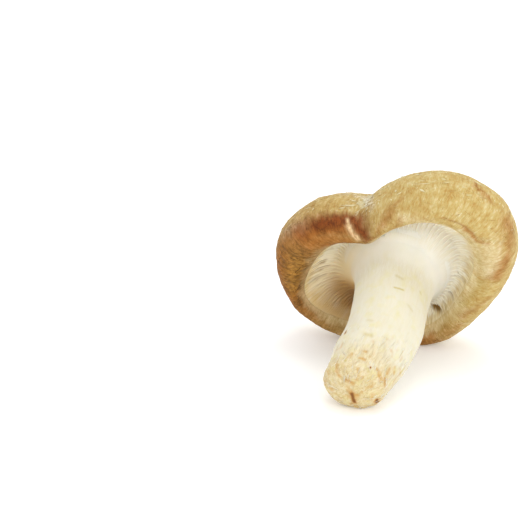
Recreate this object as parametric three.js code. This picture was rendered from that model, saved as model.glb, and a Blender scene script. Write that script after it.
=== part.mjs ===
// A fresh shiitake mushroom, picked with its stem on and laid on a table. The whole mushroom is one
// piece of flesh: a two-lobed cap with a rolled margin, gills under it, and a bowed stem whose torn
// end is blunt. It lies on the cap's margin and on the stem's end, with the gills facing the front.
//
// Millimetres and degrees, +Z up, +X to the right and +Y away from the front. The origin is on the
// table, under the middle of the mushroom's bounding box.

import * as THREE from 'three';

const { clamp, degToRad, euclideanModulo, lerp, radToDeg, smoothstep } = THREE.MathUtils;
const TURN = 2 * Math.PI;

// Driving dimensions. The mushroom's own frame has its centre on the stem's line, level with the
// cap's widest outline: across is to the right, down is towards the table, up is out of the dome.

// The cap's outline seen along the stem: two round lobes that meet in a crease at the upper side
// and run together softly where the cap lies, with low waves on top and a hollow between the two
// places that touch the table.
const LARGE_LOBE = { across: 11.6, down: -3.1, radius: 27.2 };
const SMALL_LOBE = { across: -18.6, down: 1.9, radius: 21.7 };
const CREASE_SOFTNESS = 1.8;
const JOIN_SOFTNESS = 15.7;
const OUTLINE_WAVES = [
  { times: 2, cos: -0.077, sin: -0.036 },
  { times: 3, cos: -0.02, sin: -0.049 },
];
const HOLLOW = { at: 95, width: 12.6, size: 5.0 };

// The cap's section: a low dome, and below its widest level a margin that rolls in to a lip. The
// margin is slim where the lip stays further out: at the lower left, below, and at the upper right.
const CAP = {
  centreRadius: 37.5,
  evenShare: 0.6,
  domeHeight: 18,
  domeSpread: 0.62,
  domeRise: 0.95,
  rollDepth: 9,
  rollAngle: 140,
  lipShare: 0.637,
};
const SLIM_PLACES = [
  { at: 154, width: 22, size: 0.15 },
  { at: 103, width: 56, size: 0.123 },
  { at: -50, width: 33, size: 0.05 },
];

// The gills: ridges that run from the lip to the stem. Their edges arch over a trough between the
// two, and fade into the flare at the top of the stem.
const GILLS = { count: 84, depth: 2.6, depthPerLength: 0.4, troughHeight: 3.6, lipStep: 0.8 };

// The stem, from the flare where the gills end down to the torn end.
const STEM = {
  flareRadius: 15.4,
  flareDrop: 4,
  flareLength: 4.5,
  radius: 10.9,
  endRadius: 9.0,
  taperStart: 40,
  taperEnd: 54,
  length: 59,
  endRound: 6,
  endSlant: 8,
  lean: 0.03,
  bendLeft: 0.26,
  bendUp: 0.076,
  bendStart: 31,
  bendSoftness: 4,
};
const STEM_WAVES = [
  { times: 2, size: 0.03, phase: 20 },
  { times: 3, size: 0.02, phase: 75 },
];

// How the mushroom lies: its dome points back, a little to the right, and up from level. Its three
// low points are pressed flat by its own weight.
const DOME_RIGHT = 13;
const DOME_UP = 25;
const PRESSED = 0.5;

// How finely the surface is divided.
const CAP_SIDES = 84;
const GILL_SAMPLES = 4;
const STEM_SIDES = 42;
const DOME_ANGLES = [80, 68, 57, 46, 36, 27, 18, 9, 0];
const ROLL_STEPS = 7;
const GILL_SHARES = [0.03, 0.14, 0.32, 0.52, 0.72, 0.88, 1];
const STEM_DROPS = [5.6, 7.8, 11, 16, 22, 28, 34, 40, 45, 49, 52];
const END_ANGLES = [14, 28, 42, 57, 73];

/** Distance from the stem's line to a round lobe's edge, in the direction of an angle. */
function lobeEdge(angle, lobe) {
  const offset = Math.hypot(lobe.across, lobe.down);
  const turned = angle - Math.atan2(lobe.down, lobe.across);
  const sideways = offset * Math.sin(turned);
  return offset * Math.cos(turned) + Math.sqrt(Math.max(lobe.radius ** 2 - sideways ** 2, 1));
}

/** A bell round the cap, of a size and width, and highest at an angle in degrees. */
function bell(angle, { at, width, size }) {
  const aside = euclideanModulo(radToDeg(angle) - at + 180, 360) - 180;
  return size * Math.exp(-((aside / width) ** 2));
}

/** The cap's widest radius at an angle: the two lobes' edges joined softly, waves and hollow. */
function capRadius(angle) {
  const softness = lerp(CREASE_SOFTNESS, JOIN_SOFTNESS, (1 + Math.sin(angle)) / 2);
  const large = lobeEdge(angle, LARGE_LOBE) / softness;
  const small = lobeEdge(angle, SMALL_LOBE) / softness;
  const joined = softness * Math.log(Math.exp(large) + Math.exp(small));
  const wave = ({ times, cos, sin }) => cos * Math.cos(times * angle) + sin * Math.sin(times * angle);
  return joined * OUTLINE_WAVES.reduce((sum, each) => sum + wave(each), 1) - bell(angle, HOLLOW);
}

/** A point at an angle and a share of the cap's radius: near the middle the cap is round. */
function capPoint(angle, share, height) {
  const lobed = clamp(share / CAP.evenShare, 0, 1) ** 2;
  const radius = share * lerp(CAP.centreRadius, capRadius(angle), lobed);
  return new THREE.Vector3(radius * Math.cos(angle), radius * Math.sin(angle), height);
}

/** The dome: steepness 90 is its middle, 0 is the cap's widest level. */
function domePoint(angle, steepness) {
  const tilt = degToRad(steepness);
  const share = Math.cos(tilt) ** CAP.domeSpread;
  return capPoint(angle, share, CAP.domeHeight * Math.sin(tilt) ** CAP.domeRise);
}

/** The rolled margin: turn 0 is the cap's widest level, rollAngle is the lip. */
function rollPoint(angle, turn) {
  const tilt = degToRad(turn);
  const lip = SLIM_PLACES.reduce((sum, place) => sum + bell(angle, place), CAP.lipShare);
  const halfWidth = (1 - lip) / (1 - Math.cos(degToRad(CAP.rollAngle)));
  const share = 1 - halfWidth * (1 - Math.cos(tilt));
  return capPoint(angle, share, -CAP.rollDepth * Math.sin(tilt));
}

/** The stem's line at a drop below the cap's widest level: it bends left, and up from the table. */
function stemLine(drop) {
  const past = drop - STEM.bendStart;
  const bent = (past + Math.hypot(past, STEM.bendSoftness)) / 2;
  return { across: STEM.lean * drop - STEM.bendLeft * bent, down: -STEM.bendUp * bent };
}

/** The gills' surface: share 0 is the lip, 1 is the flare of the stem. A groove lies deeper. */
function gillPoint(angle, share, inGroove) {
  const lip = rollPoint(angle, CAP.rollAngle);
  const centre = stemLine(STEM.flareDrop);
  const flare = new THREE.Vector3(
    centre.across + STEM.flareRadius * Math.cos(angle),
    centre.down + STEM.flareRadius * Math.sin(angle),
    -STEM.flareDrop,
  );
  const length = Math.hypot(lip.x - flare.x, lip.y - flare.y);
  const arch = 4 * share * (1 - share);
  const trough = Math.min(GILLS.troughHeight, GILLS.depthPerLength * length);
  const depth = Math.min(GILLS.depth, GILLS.depthPerLength * length);
  const point = lip.lerp(flare, share);
  point.z += GILLS.lipStep * (1 - share) + trough * arch;
  if (inGroove) point.z += depth * Math.min(1, 2 * arch);
  return point;
}

/** The stem's surface at a drop below the cap's widest level, with its radius given. */
function stemPoint(angle, drop, radius) {
  const lumps = STEM_WAVES.reduce(
    (sum, { times, size, phase }) => sum + size * Math.cos(times * angle - degToRad(phase)),
    1,
  );
  const lumpy = lerp(1, lumps, smoothstep(drop, STEM.flareDrop, STEM.flareDrop + 10));
  const across = radius * lumpy * Math.cos(angle);
  const down = radius * lumpy * Math.sin(angle);
  const slant = Math.tan(degToRad(STEM.endSlant)) * smoothstep(drop, STEM.taperStart, STEM.length);
  const line = stemLine(drop);
  return new THREE.Vector3(line.across + across, line.down + down, -drop - slant * across);
}

/** The stem's radius at a drop: a flare that dies away, and a slight taper to the end. */
function stemRadius(drop) {
  const flare = (STEM.flareRadius - STEM.radius) * Math.exp((STEM.flareDrop - drop) / STEM.flareLength);
  const taper = smoothstep(drop, STEM.taperStart, STEM.taperEnd);
  return lerp(STEM.radius + flare, STEM.endRadius, taper);
}

/** The rounded end: roundness 0 is where the side ends, 90 is the middle of the end. */
function endPoint(angle, roundness) {
  const tilt = degToRad(roundness);
  const drop = STEM.length - STEM.endRound * (1 - Math.sin(tilt));
  return stemPoint(angle, drop, STEM.endRadius * Math.cos(tilt) ** 0.7);
}

/** A closed ring of points, from a function of the angle and the point's number. */
function ring(count, pointAt) {
  return Array.from({ length: count }, (_, i) => pointAt((TURN * i) / count, i));
}

/** All the rings, from the dome's middle over the margin and the gills to the stem's end. */
function mushroomRings() {
  const rollTurns = Array.from({ length: ROLL_STEPS }, (_, i) => (CAP.rollAngle * (i + 1)) / ROLL_STEPS);
  const isGroove = (i) => i % GILL_SAMPLES >= GILL_SAMPLES / 2;
  return [
    [domePoint(0, 90)],
    ...DOME_ANGLES.map((steepness) => ring(CAP_SIDES, (angle) => domePoint(angle, steepness))),
    ...rollTurns.map((turn) => ring(CAP_SIDES, (angle) => rollPoint(angle, turn))),
    ...GILL_SHARES.map((share) => ring(
      GILLS.count * GILL_SAMPLES,
      (angle, i) => gillPoint(angle, share, isGroove(i)),
    )),
    ...STEM_DROPS.map((drop, i) => ring(
      i === 0 ? 2 * STEM_SIDES : STEM_SIDES,
      (angle) => stemPoint(angle, drop, stemRadius(drop)),
    )),
    ...END_ANGLES.map((roundness) => ring(STEM_SIDES, (angle) => endPoint(angle, roundness))),
    [stemPoint(0, STEM.length, 0)],
  ];
}

/** Triangles between two neighbouring rings, which may have different numbers of points. */
function bridge(upper, upperStart, lower, lowerStart) {
  const triangles = [];
  const at = (points, start, i) => start + (i % points.length);
  const steps = (points) => (points.length === 1 ? 0 : points.length);
  let i = 0;
  let j = 0;
  while (i < steps(upper) || j < steps(lower)) {
    const upperNext = i < steps(upper) ? (i + 1) / upper.length : Infinity;
    const lowerNext = j < steps(lower) ? (j + 1) / lower.length : Infinity;
    const corners = [at(upper, upperStart, i), at(lower, lowerStart, j)];
    if (upperNext <= lowerNext) {
      i += 1;
      triangles.push(...corners, at(upper, upperStart, i));
    } else {
      j += 1;
      triangles.push(...corners, at(lower, lowerStart, j));
    }
  }
  return triangles;
}

/** One closed skin over all the rings. */
function skin(rings) {
  const starts = [];
  const points = [];
  for (const each of rings) {
    starts.push(points.length);
    points.push(...each);
  }
  const triangles = [];
  for (let k = 1; k < rings.length; k += 1) {
    triangles.push(...bridge(rings[k - 1], starts[k - 1], rings[k], starts[k]));
  }
  return new THREE.BufferGeometry().setFromPoints(points).setIndex(triangles);
}

/** Turns the mushroom to how it lies, presses its low points flat and centres it on the origin. */
function layOnTable(geometry) {
  const right = degToRad(DOME_RIGHT);
  const up = degToRad(DOME_UP);
  const dome = new THREE.Vector3(Math.sin(right), Math.cos(right), 0).multiplyScalar(Math.cos(up));
  dome.z = Math.sin(up);
  const across = new THREE.Vector3(Math.cos(right), -Math.sin(right), 0);
  const down = new THREE.Vector3().crossVectors(dome, across);
  geometry.applyMatrix4(new THREE.Matrix4().makeBasis(across, down, dome));
  geometry.computeBoundingBox();
  geometry.translate(0, 0, -geometry.boundingBox.min.z - PRESSED);
  const places = geometry.attributes.position;
  for (let i = 0; i < places.count; i += 1) places.setZ(i, Math.max(places.getZ(i), 0));
  geometry.computeBoundingBox();
  const middle = geometry.boundingBox.getCenter(new THREE.Vector3());
  geometry.translate(-middle.x, -middle.y, 0);
  geometry.computeVertexNormals();
}

const flesh = new THREE.MeshStandardMaterial({ color: 0xc9a565, roughness: 0.6, metalness: 0 });
const geometry = skin(mushroomRings());
layOnTable(geometry);
const mushroom = new THREE.Mesh(geometry, flesh);
mushroom.name = 'mushroom';

const part = new THREE.Group();
part.add(mushroom);
export default part;
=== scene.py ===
"""A fresh shiitake mushroom that lies on its cap's margin and its stem's end, with the gills to the front.

Metres, +Z up, origin on the table. The cap, the gills and the stem are skins worked out by formula in the
mushroom's own frame, which has the stem's line as its axis, and then laid down on the table.
"""
import itertools

import bpy
import numpy as np
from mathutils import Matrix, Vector


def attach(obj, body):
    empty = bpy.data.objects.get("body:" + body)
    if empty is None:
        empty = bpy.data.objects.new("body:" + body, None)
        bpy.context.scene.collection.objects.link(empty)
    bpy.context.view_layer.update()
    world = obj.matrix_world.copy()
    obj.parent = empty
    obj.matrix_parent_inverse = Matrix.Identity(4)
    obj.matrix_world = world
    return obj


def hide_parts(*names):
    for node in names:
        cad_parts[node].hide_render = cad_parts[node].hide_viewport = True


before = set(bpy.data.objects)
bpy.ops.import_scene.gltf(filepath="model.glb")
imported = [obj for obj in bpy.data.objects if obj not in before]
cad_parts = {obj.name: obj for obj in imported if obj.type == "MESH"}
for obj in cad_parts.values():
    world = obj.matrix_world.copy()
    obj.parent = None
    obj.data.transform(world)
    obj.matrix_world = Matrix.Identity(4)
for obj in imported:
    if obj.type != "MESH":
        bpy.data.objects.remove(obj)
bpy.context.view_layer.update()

# The view: from the front and a little above, through a long lens, with the mushroom to the right
# of the picture's middle. The picture is square.
MM = 0.001
CAP_CENTRE = np.array((1.13, 14.68, 28.75)) * MM
PICTURE_SIDE = 524
CENTRE_FROM_LEFT = 398
LENS = 120 * MM
SENSOR = 36 * MM
VIEW_RAISED = 18
VIEW_DISTANCE = 540 * MM

raised = np.radians(VIEW_RAISED)
sideways = (CENTRE_FROM_LEFT - PICTURE_SIDE / 2) * VIEW_DISTANCE * SENSOR / (LENS * PICTURE_SIDE)
camera = bpy.data.objects.new("camera", bpy.data.cameras.new("camera"))
camera.data.lens = LENS / MM
camera.data.sensor_width = SENSOR / MM
viewed_from = VIEW_DISTANCE * np.array((0, -np.cos(raised), np.sin(raised)))
camera.location = CAP_CENTRE + viewed_from - (sideways, 0, 0)
camera.rotation_euler = (np.pi / 2 - raised, 0, 0)
bpy.context.scene.collection.objects.link(camera)
bpy.context.scene.camera = camera

# How the mushroom lies: the dome points back, a little to the right and up from level. Its own
# weight presses its low points flat on the table.
DOME_RIGHT = 13
DOME_UP = 25

right, up = np.radians((DOME_RIGHT, DOME_UP))
dome_way = np.array((np.sin(right) * np.cos(up), np.cos(right) * np.cos(up), np.sin(up)))
across_way = np.array((np.cos(right), -np.sin(right), 0))
down_way = np.cross(dome_way, across_way)
LYING = np.array((across_way, down_way, dome_way))


def lay(points):
    """From the mushroom's own frame to the table's: centre + x across + y down + z dome, never below 0."""
    laid = CAP_CENTRE + points @ LYING
    laid[..., 2] = np.maximum(laid[..., 2], 0)
    return laid


# The cap: a thin brown skin of fibrils over firm flesh. It grew as two lobes that meet in a crease, and
# its margin rolls under to a lip where the gills begin. The skin closes inside, behind the gills.
LARGE_LOBE = {"across": 11.6 * MM, "down": -3.1 * MM, "radius": 27.2 * MM}
SMALL_LOBE = {"across": -18.6 * MM, "down": 1.9 * MM, "radius": 21.7 * MM}
CREASE_SOFTNESS = 1.8 * MM
JOIN_SOFTNESS = 15.7 * MM
OUTLINE_WAVES = ((2, -0.077, -0.036), (3, -0.02, -0.049))
HOLLOW = {"depth": 5.0 * MM, "angle": 95, "width": 12.6}
CENTRE_RADIUS = 37.5 * MM
EVEN_SHARE = 0.6
DOME_HEIGHT = 18 * MM
DOME_FULLNESS = 3.226
DOME_RISE = 0.475
ROLL_DEPTH = 9 * MM
LIP_TURN = 140
LIP_SHARE = 0.637
SLIM_PLACES = ((154, 22, 0.15), (103, 56, 0.123), (-50, 33, 0.05))
DOME_TOP = -89.7
SECTION_TURNS = 1080
MARGIN_TURN = -14
CAP_STEP = 0.05
CAP_SIDES = 540
DOME_RINGS = 66
MARGIN_RINGS = 100
HIDDEN_HEIGHTS = np.array((-3.0, 0.0, 2.8, 3.4)) * MM
HIDDEN_SHARES = np.array((1.01, 1.02, 0.97, 0.5))
LATTICE = 64


def lobe_edge(angle, lobe):
    """Distance to a round lobe's edge: d cos(a-b) + sqrt(r^2 - (d sin(a-b))^2), its centre at (d, b)."""
    offset = np.hypot(lobe["across"], lobe["down"])
    turned = np.radians(angle) - np.arctan2(lobe["down"], lobe["across"])
    half_chord = np.sqrt(np.maximum(lobe["radius"] ** 2 - (offset * np.sin(turned)) ** 2, MM ** 2))
    return offset * np.cos(turned) + half_chord


def between(start, end, share):
    """start + (end - start) share."""
    return start + (end - start) * share


def ease(value, start, end):
    """0 before start, 1 after end, and t t (3 - 2t) between them."""
    share = np.clip((value - start) / (end - start), 0, 1)
    return share * share * (3 - 2 * share)


def apart(angle, other):
    """The turn from one angle to another in degrees, from -180 to 180."""
    return (angle - other + 180) % 360 - 180


def bell(angle, place, width):
    """exp(-(turn from a place / width)^2)."""
    return np.exp(-((apart(angle, place) / width) ** 2))


def cap_radius(angle):
    """s log(exp(large/s) + exp(small/s)) (1 + waves) - hollow: the lobes' edges joined over a softness s."""
    softness = between(CREASE_SOFTNESS, JOIN_SOFTNESS, (1 + np.sin(np.radians(angle))) / 2)
    large, small = lobe_edge(angle, LARGE_LOBE), lobe_edge(angle, SMALL_LOBE)
    joined = softness * np.logaddexp(large / softness, small / softness)
    waves = 1
    for number, cosine, sine in OUTLINE_WAVES:
        turned = np.radians(number * angle)
        waves = waves + cosine * np.cos(turned) + sine * np.sin(turned)
    return joined * waves - HOLLOW["depth"] * bell(angle, HOLLOW["angle"], HOLLOW["width"])


def round_point(angle, radius, height):
    """The point (radius cos(angle), radius sin(angle), height)."""
    angle, radius, height = np.broadcast_arrays(np.radians(angle), radius, height)
    return np.stack((radius * np.cos(angle), radius * np.sin(angle), height), -1)


def cap_point(angle, share, height):
    """A share of the cap's radius: share (c + (outline - c) min(share/e, 1)^2), c being the centre's."""
    lobed = np.clip(share / EVEN_SHARE, 0, 1) ** 2
    return round_point(angle, share * between(CENTRE_RADIUS, cap_radius(angle), lobed), height)


def lip_share(angle):
    """The lip's share of the cap's radius, larger where the margin is slim."""
    return LIP_SHARE + sum(size * bell(angle, place, width) for place, width, size in SLIM_PLACES)


def cap_shape(angle, turn):
    """The smooth skin at an angle round the cap and a turn over its section, in degrees.
    Dome, turn -90 to 0: share = cos(turn), height = D (1 - share^f)^r.
    Margin, turn 0 to the lip: share = 1 - w (1 - cos(turn)), height = -H sin(turn)."""
    angle, turn = np.broadcast_arrays(angle, turn)
    cosine = np.cos(np.radians(turn))
    width = (1 - lip_share(angle)) / (1 - np.cos(np.radians(LIP_TURN)))
    share = np.where(turn < 0, cosine, 1 - width * (1 - cosine))
    dome = DOME_HEIGHT * (1 - np.clip(cosine, 0, 1) ** DOME_FULLNESS) ** DOME_RISE
    return cap_point(angle, share, np.where(turn < 0, dome, -ROLL_DEPTH * np.sin(np.radians(turn))))


TINY = 1e-12
ANGLE_STEP = 0.05


def unit(vectors):
    """Vectors over their lengths."""
    return vectors / np.maximum(np.linalg.norm(vectors, axis=-1, keepdims=True), TINY)


def outward(shape, angle, way, step):
    """Unit normals of a shape(angle, way): the cross product of its differences along and round."""
    along = shape(angle, way + step) - shape(angle, way - step)
    around = shape(angle + ANGLE_STEP, way) - shape(angle - ANGLE_STEP, way)
    return unit(np.cross(along, around))


def grain(places, size, seed):
    """Smooth random values from -1 to 1: values on a lattice of that size, blended between a cell's
    eight corners with the weights t t (3 - 2t)."""
    values = np.random.default_rng(seed).uniform(-1, 1, (LATTICE, LATTICE, LATTICE))
    cell = np.floor(places / size).astype(int)
    inside = ease(places / size - cell, 0, 1)
    total = np.zeros(places.shape[:-1])
    for corner in itertools.product((0, 1), repeat=3):
        weight = np.where(corner, inside, 1 - inside).prod(-1)
        total += weight * values[tuple(np.moveaxis((cell + corner) % LATTICE, -1, 0))]
    return total


turns = np.linspace(DOME_TOP, 180, SECTION_TURNS)
steps = np.linalg.norm(np.diff(cap_shape(0, turns), axis=0), axis=1)
lengths = np.append(0, np.cumsum(steps))


def along_cap(turn):
    """Length over the skin from the dome's middle to a turn."""
    return np.interp(turn, turns, lengths)


def cap_fibre(angle, turn):
    """A place for fibrils: round a circle as wide as the cap's margin, and along the skin."""
    angle, turn = np.broadcast_arrays(angle, turn)
    return round_point(angle, CENTRE_RADIUS, along_cap(turn))


MARK_RADIUS = 0.9 * CENTRE_RADIUS


def cap_mark(angle, turn, start, end, width):
    """1 on a line over the skin, exp(-(distance/width)^2) beside it. start and end are (angle, turn)."""
    scale = np.radians(MARK_RADIUS)
    x, y = apart(angle, start[0]) * scale, along_cap(turn) - along_cap(start[1])
    line_x, line_y = apart(end[0], start[0]) * scale, along_cap(end[1]) - along_cap(start[1])
    share = np.clip((x * line_x + y * line_y) / max(line_x ** 2 + line_y ** 2, TINY), 0, 1)
    return np.exp(-((x - share * line_x) ** 2 + (y - share * line_y) ** 2) / width ** 2)


def strongest(marks, mark_at, *place):
    """The highest at each place of several marks: (start, end, width, strength)."""
    return np.max([strength * mark_at(*place, *mark) for *mark, strength in marks], 0)


# Marks on the cap's skin: from one (angle, turn) in degrees to another, with a width, and in the lists
# with a strength.
CUT = (
    ((-125.8, 22), (-125.2, 40), 0.55 * MM, 1.0),
    ((-125.2, 40), (-123.8, 66), 1.0 * MM, 1.0),
    ((-123.8, 66), (-122.6, 84), 0.6 * MM, 1.0),
)
CUT_LIPS = ((-125.2, 30), (-122.8, 84), 1.25 * MM)
CUT_BEAD = ((-121.2, 68), (-120.9, 78), 0.65 * MM)
FURROW = (
    ((-58, 92), (-47, 92), 0.6 * MM, 1.0),
    ((-47, 92), (-39, 97), 0.7 * MM, 1.0),
    ((-39, 97), (-34, 80), 0.5 * MM, 1.0),
    ((-34, 80), (-27, 48), 0.45 * MM, 1.0),
)
SLACK = ((-28, 88), (-10, 96), 4 * MM)
RUCKED = ((-170, 98), (172, 96), 5 * MM)
CUT_DEPTH = 0.5 * MM
CUT_LIP_HEIGHT = 0.3 * MM
CUT_BEAD_HEIGHT = 0.6 * MM
FURROW_DEPTH = 0.45 * MM
SLACK_DEPTH = 0.3 * MM
RUCKED_GAIN = 2.2
COARSE_SIDE = (176, 60)
SMOOTH_MIDDLE = (3 * MM, 14 * MM)
LIP_FADE = 12


def long_cells(width, length):
    """The size of grain that runs along fibres: its width twice and its length, in millimetres."""
    return np.array((width, width, length)) * MM


def cap_relief(angle, turn):
    """Height of the skin over the smooth cap: lumps, fibrils that run from the middle to the lip, a
    furrow over the right margin and the raised sides of a cut at the upper left."""
    angle, turn = np.broadcast_arrays(angle, turn)
    place, fibre = cap_shape(angle, turn), cap_fibre(angle, turn)
    fibre = fibre + 0.5 * MM * grain(place, 2.5 * MM, 4)[..., None]
    rucked = 1 + RUCKED_GAIN * cap_mark(angle, turn, *RUCKED)
    coarse = rucked * ease(along_cap(turn), *SMOOTH_MIDDLE) * (0.6 + 0.7 * bell(angle, *COARSE_SIDE))
    fibrils = 0.06 * MM * grain(fibre, long_cells(0.9, 4.5), 5)
    fibrils += 0.05 * MM * grain(fibre, long_cells(0.55, 2.4), 6)
    gaps = 0.1 * MM * np.clip(grain(fibre, long_cells(1.2, 3.0), 7) - 0.45, 0, 1)
    height = 0.28 * MM * grain(place, 8 * MM, 1) + 0.12 * MM * grain(place, 3.2 * MM, 2)
    height += (fibrils - gaps) * coarse
    height -= FURROW_DEPTH * strongest(FURROW, cap_mark, angle, turn)
    height -= SLACK_DEPTH * cap_mark(angle, turn, *SLACK)
    height -= CUT_DEPTH * strongest(CUT, cap_mark, angle, turn)
    height += CUT_LIP_HEIGHT * cap_mark(angle, turn, *CUT_LIPS)
    height += CUT_BEAD_HEIGHT * cap_mark(angle, turn, *CUT_BEAD)
    return height * ease(LIP_TURN - turn, 0, LIP_FADE)


def cap_skin(angle, turn):
    """The cap's skin: its smooth shape plus the relief along the normal."""
    normal = outward(cap_shape, angle, turn, CAP_STEP)
    return cap_shape(angle, turn) + cap_relief(angle, turn)[..., None] * normal


BRUISE = (
    ((-152, 40), (-140, 30), 3.0 * MM, 0.5),
    ((-142, 34), (-130, 30), 3.6 * MM, 0.95),
    ((-128, 22), (-119, 30), 3.2 * MM, 1.0),
    ((-118.5, 34), (-114, 74), 4.4 * MM, 1.0),
    ((-113, 80), (-117, 100), 2.2 * MM, 0.75),
    ((-136, 118), (-122, 112), 1.0 * MM, 0.5),
)
AMBER = (
    ((-150, 58), (-130, 46), 4.2 * MM, 0.85),
    ((-150, 84), (-131, 88), 4.0 * MM, 0.75),
    ((-148, 112), (-128, 114), 2.2 * MM, 0.8),
    ((-112, 96), (-104, 106), 1.6 * MM, 0.5),
    ((-91, 60), (-98, 86), 2.4 * MM, 0.55),
    ((-86, 30), (-93, 52), 1.5 * MM, 0.4),
    ((-84, 90), (-89, 106), 1.8 * MM, 0.4),
    ((-60, 91), (-47, 93), 0.6 * MM, 0.45),
    ((-47, 93), (-38, 97), 0.8 * MM, 0.7),
    ((-38, 97), (-33, 76), 0.6 * MM, 0.55),
    ((-31, 14), (-26, 30), 3.2 * MM, 0.65),
    ((-25, 34), (-20, 48), 1.5 * MM, 0.55),
    ((-18, 54), (-8, 74), 2.7 * MM, 0.75),
    ((9, 62), (17, 80), 1.3 * MM, 0.35),
    ((22, 86), (32, 95), 1.5 * MM, 0.45),
    ((40, 84), (52, 92), 1.8 * MM, 0.4),
    ((62, 78), (74, 96), 2.6 * MM, 0.45),
    ((-51, -8), (-49, -3), 1.3 * MM, 0.8),
    ((-47, 1), (-45, 5), 1.2 * MM, 0.6),
    ((66, 104), (86, 116), 2.4 * MM, 0.4),
)
PALE = (
    ((-30, 84), (-12, 98), 2.8 * MM, 0.7),
    ((-82, 78), (-70, 108), 2.2 * MM, 0.5),
    ((-28, 60), (-20, 84), 1.0 * MM, 0.8),
    ((-46, 108), (-24, 112), 1.2 * MM, 0.6),
    ((24, 104), (40, 112), 1.6 * MM, 0.3),
)
GREY = (
    ((-122, -24), (-110, -4), 1.6 * MM, 0.8),
    ((-134, -26), (-120, -22), 1.6 * MM, 0.6),
    ((-160, 22), (-150, 34), 2.6 * MM, 0.55),
    ((-112, -4), (-106, 14), 1.2 * MM, 0.5),
)

# Sides of the cap: an angle and a spread in degrees. The left side is darker, partly its own colour and
# partly painted shade; the lower side gets painted shade where the margin nears the table.
LEFT_SIDE = (176, 56)
LOWER_SIDE = (90, 36)
DARK_MIDDLE = (9 * MM, 27 * MM)
SHADE_BELOW = 0.95
LIP_EDGE = (LIP_TURN - 34, LIP_TURN - 2)


def cap_masks(angle, turn):
    """Where the skin is bruised, amber, pale, greyish, cut open, dark (its own darker middle, the left side
    partly its own colour and partly painted shade, and painted shade over the lower side by the table),
    rucked or thin at the lip, from 0 to 1. Random shifts of a few degrees make the borders ragged."""
    angle, turn = np.broadcast_arrays(angle, turn)
    place, fibre = cap_shape(angle, turn), cap_fibre(angle, turn)
    ragged = angle + 2.4 * grain(place, 3.2 * MM, 11) + 1.5 * grain(fibre, long_cells(0.7, 3), 12)
    shifted = turn + 7 * grain(place, 3 * MM, 13) + 6 * grain(fibre, long_cells(0.6, 3), 14)
    # The left side: darker, partly the skin's own colour and partly painted shade.
    left = bell(ragged, *LEFT_SIDE) * ease(shifted, -50, 50)
    middle = 1 - ease(along_cap(turn) + 4 * MM * grain(place, 6 * MM, 15), *DARK_MIDDLE)
    # Painted shade over the lower side of the margin, near the table.
    below = SHADE_BELOW * bell(ragged, *LOWER_SIDE) * ease(shifted, 20, 90)
    return {
        "bruise": strongest(BRUISE, cap_mark, ragged, shifted),
        "amber": strongest(AMBER, cap_mark, ragged, shifted),
        "pale": strongest(PALE, cap_mark, ragged, shifted),
        "grey": strongest(GREY, cap_mark, ragged, shifted),
        "cut": np.maximum(strongest(CUT, cap_mark, angle, turn), cap_mark(angle, turn, *CUT_BEAD)),
        "dark": np.max([left, middle, below], 0),
        "rucked": cap_mark(ragged, shifted, *RUCKED),
        "lip": ease(shifted, *LIP_EDGE) * (1 - 0.5 * left),
    }


def surface(name, grid, joined=False, **masks):
    """A mesh object over a grid of rings by sides, each ring closed. Its ends get a fan to the ring's
    middle, or its last ring joins its first. masks are values kept on the points."""
    rings, sides = grid.shape[:2]
    ring, side = np.mgrid[0:rings if joined else rings - 1, 0:sides]
    after, beside = (ring + 1) % rings, (side + 1) % sides
    quads = (ring * sides + side, after * sides + side, after * sides + beside, ring * sides + beside)
    faces = np.stack(quads, -1).reshape(-1, 4).tolist()
    values = {key: value.reshape(rings * sides, -1) for key, value in {"place": grid, **masks}.items()}
    if not joined:
        first, second = np.arange(sides), (np.arange(sides) + 1) % sides
        last, middle, end = (rings - 1) * sides, rings * sides, rings * sides + 1
        faces += np.stack((np.full(sides, middle), first, second), -1).tolist()
        faces += np.stack((last + first, np.full(sides, end), last + second), -1).tolist()
        for key, value in values.items():
            ends = value[:sides].mean(0), value[last:last + sides].mean(0)
            values[key] = np.vstack((value, *ends))
    return dressed(name, values.pop("place"), faces, values)


def dressed(name, points, faces, values, smooth=True):
    """A mesh object of points and faces, laid on the table, with values kept on its points."""
    mesh = bpy.data.meshes.new(name)
    mesh.from_pydata(lay(points), [], faces)
    mesh.polygons.foreach_set("use_smooth", np.full(len(mesh.polygons), smooth))
    for key, value in values.items():
        kind, field = ("FLOAT_VECTOR", "vector") if value.shape[1] == 3 else ("FLOAT", "value")
        mesh.attributes.new(key, kind, "POINT").data.foreach_set(field, value.astype(np.float32).ravel())
    mesh.update()
    piece = bpy.data.objects.new(name, mesh)
    bpy.context.scene.collection.objects.link(piece)
    return piece


margin_start = along_cap(MARGIN_TURN)
dome_lengths = np.linspace(0, margin_start, DOME_RINGS, endpoint=False)
margin_lengths = np.linspace(margin_start, along_cap(LIP_TURN), MARGIN_RINGS)
ring_turns = np.interp(np.append(dome_lengths, margin_lengths), lengths, turns)[:, None]
side_angles = np.linspace(-180, 180, CAP_SIDES, endpoint=False)[None, :]
cap_grid = cap_skin(side_angles, ring_turns)
lip_radius = lip_share(side_angles) * cap_radius(side_angles)
hidden = round_point(side_angles, lip_radius * HIDDEN_SHARES[:, None], HIDDEN_HEIGHTS[:, None])
hidden_turns = np.full((len(HIDDEN_SHARES), 1), float(LIP_TURN))
all_turns = np.vstack((ring_turns, hidden_turns))
cap = surface(
    "cap",
    np.vstack((cap_grid, hidden)),
    fibre=cap_fibre(side_angles, all_turns),
    **cap_masks(side_angles, all_turns),
)


def paint(code):
    """A linear colour from its hex code on screen: ((c + 0.055) / 1.055)^2.4."""
    channels = np.array([int(code[i:i + 2], 16) / 255 for i in (0, 2, 4)])
    return (*((channels + 0.055) / 1.055) ** 2.4, 1)


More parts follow.
